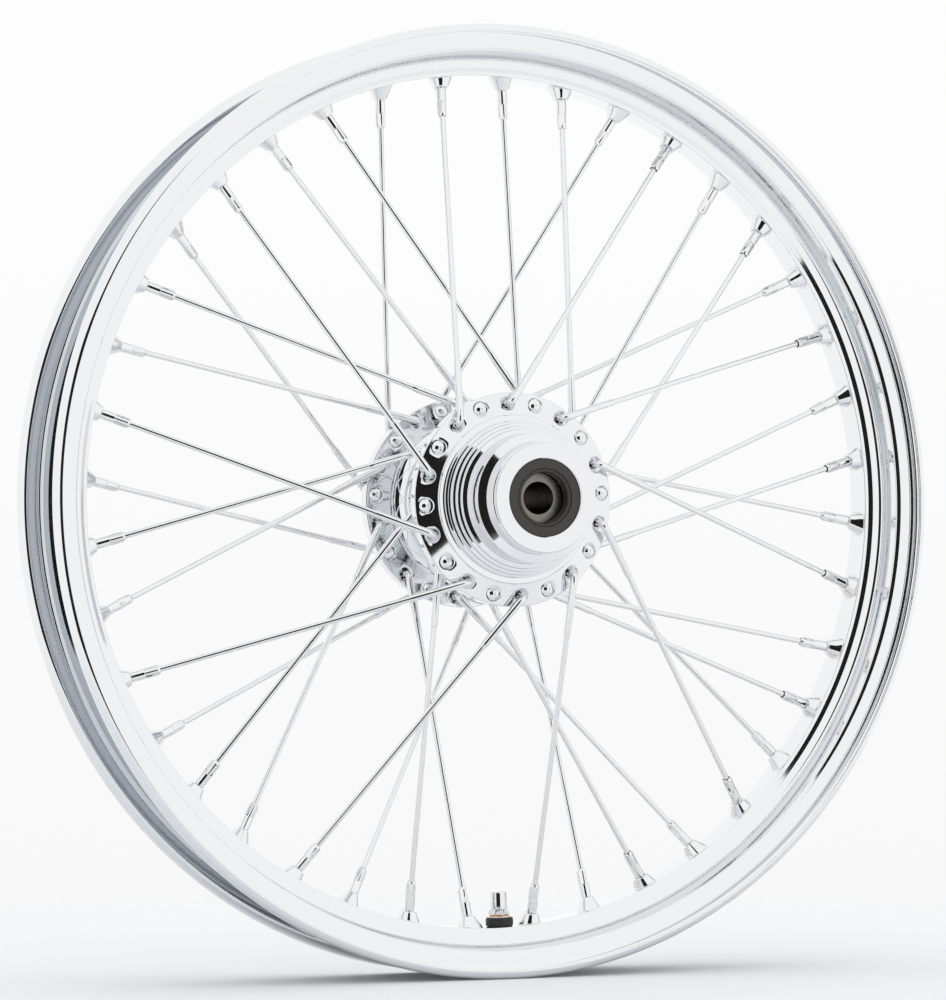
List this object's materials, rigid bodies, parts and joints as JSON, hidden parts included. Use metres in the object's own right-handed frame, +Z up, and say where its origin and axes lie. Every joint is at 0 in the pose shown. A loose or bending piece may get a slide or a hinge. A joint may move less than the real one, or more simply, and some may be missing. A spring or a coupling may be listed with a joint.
{
  "type": "spoked wheel",
  "caption": "Chrome wire-spoked motorcycle wheel: rolled steel rim, crossed spokes with nipples, stepped dual-flange hub on tapered roller bearings, valve.",
  "frame": {"origin": "the wheel's centre on the axle line, in the plane of the rim's nipple holes", "axes": "+Y along the axle towards the brake disc side, +Z up, +X to the right when seen from the plain stepped side"},
  "size_m": [0.5613, 0.1533, 0.5614],
  "materials": {
    "rim_chrome": "polished chrome plate on rolled steel",
    "hub_chrome": "polished chrome plate, turned steps",
    "spoke_chrome": "polished chrome plate",
    "nipple_chrome": "bright chrome plate",
    "seal_rubber": "smooth moulded rubber",
    "seal_steel": "pressed steel",
    "bearing_steel": "ground bearing steel",
    "cage_steel": "pressed steel",
    "spacer_steel": "turned steel",
    "strip_rubber": "thin moulded rubber band",
    "valve_rubber": "smooth moulded rubber",
    "valve_chrome": "bright nickel-chrome plate",
    "valve_brass": "plain turned brass"
  },
  "bodies": {
    "axle_core": {"near_bearing_cone": "bearing_steel", "far_bearing_cone": "bearing_steel", "spacer_tube": "spacer_steel", "spacer_washer": "spacer_steel", "end_play_shim": "spacer_steel"},
    "wheel": {"rim": "rim_chrome", "rim_strip": "strip_rubber", "hub_shell": "hub_chrome", "near_outer_spokes": "spoke_chrome", "near_outer_nipples": "nipple_chrome", "near_inner_spokes": "spoke_chrome", "near_inner_nipples": "nipple_chrome", "far_inner_spokes": "spoke_chrome", "far_inner_nipples": "nipple_chrome", "far_outer_spokes": "spoke_chrome", "far_outer_nipples": "nipple_chrome", "near_bearing_cup": "bearing_steel", "near_seal_case": "seal_steel", "near_seal_lip": "seal_rubber", "near_seal_spring": "seal_steel", "far_bearing_cup": "bearing_steel", "far_seal_case": "seal_steel", "far_seal_lip": "seal_rubber", "far_seal_spring": "seal_steel", "valve_stem": "valve_chrome", "valve_inner_grommet": "valve_rubber", "valve_outer_grommet": "valve_rubber", "valve_washer": "valve_chrome", "valve_ring": "valve_brass", "valve_nut": "valve_chrome", "valve_core_body": "valve_brass"},
    "near_roller_set": {"near_rollers": "bearing_steel", "near_bearing_cage": "cage_steel"},
    "far_roller_set": {"far_rollers": "bearing_steel", "far_bearing_cage": "cage_steel"},
    "valve_pin": {"valve_core_pin": "valve_brass"},
    "valve_cap_body": {"valve_cap": "valve_chrome"}
  },
  "joints": [
    {"name": "wheel_spin", "type": "hinge", "parent": "axle_core", "child": "wheel", "pos_m": [0, 0, 0], "axis": [0, 1, 0], "continuous": true},
    {"name": "near_rollers_roll", "type": "hinge", "parent": "axle_core", "child": "near_roller_set", "pos_m": [0, 0, 0], "axis": [0, 1, 0], "continuous": true},
    {"name": "far_rollers_roll", "type": "hinge", "parent": "axle_core", "child": "far_roller_set", "pos_m": [0, 0, 0], "axis": [0, 1, 0], "continuous": true},
    {"name": "valve_cap_off", "type": "slide", "parent": "wheel", "child": "valve_cap_body", "axis": [-0.0373, 0, 0.9993], "range_m": [0, 0.014]},
    {"name": "valve_pin_press", "type": "slide", "parent": "wheel", "child": "valve_pin", "axis": [0.0373, 0, -0.9993], "range_m": [0, 0.0012], "stiffness_N_per_m": 200, "springref_m": -0.002}
  ],
  "couplings": [
    {"joint": "near_rollers_roll", "follows": "wheel_spin", "ratio": 0.58861},
    {"joint": "far_rollers_roll", "follows": "wheel_spin", "ratio": 0.58861}
  ]
}
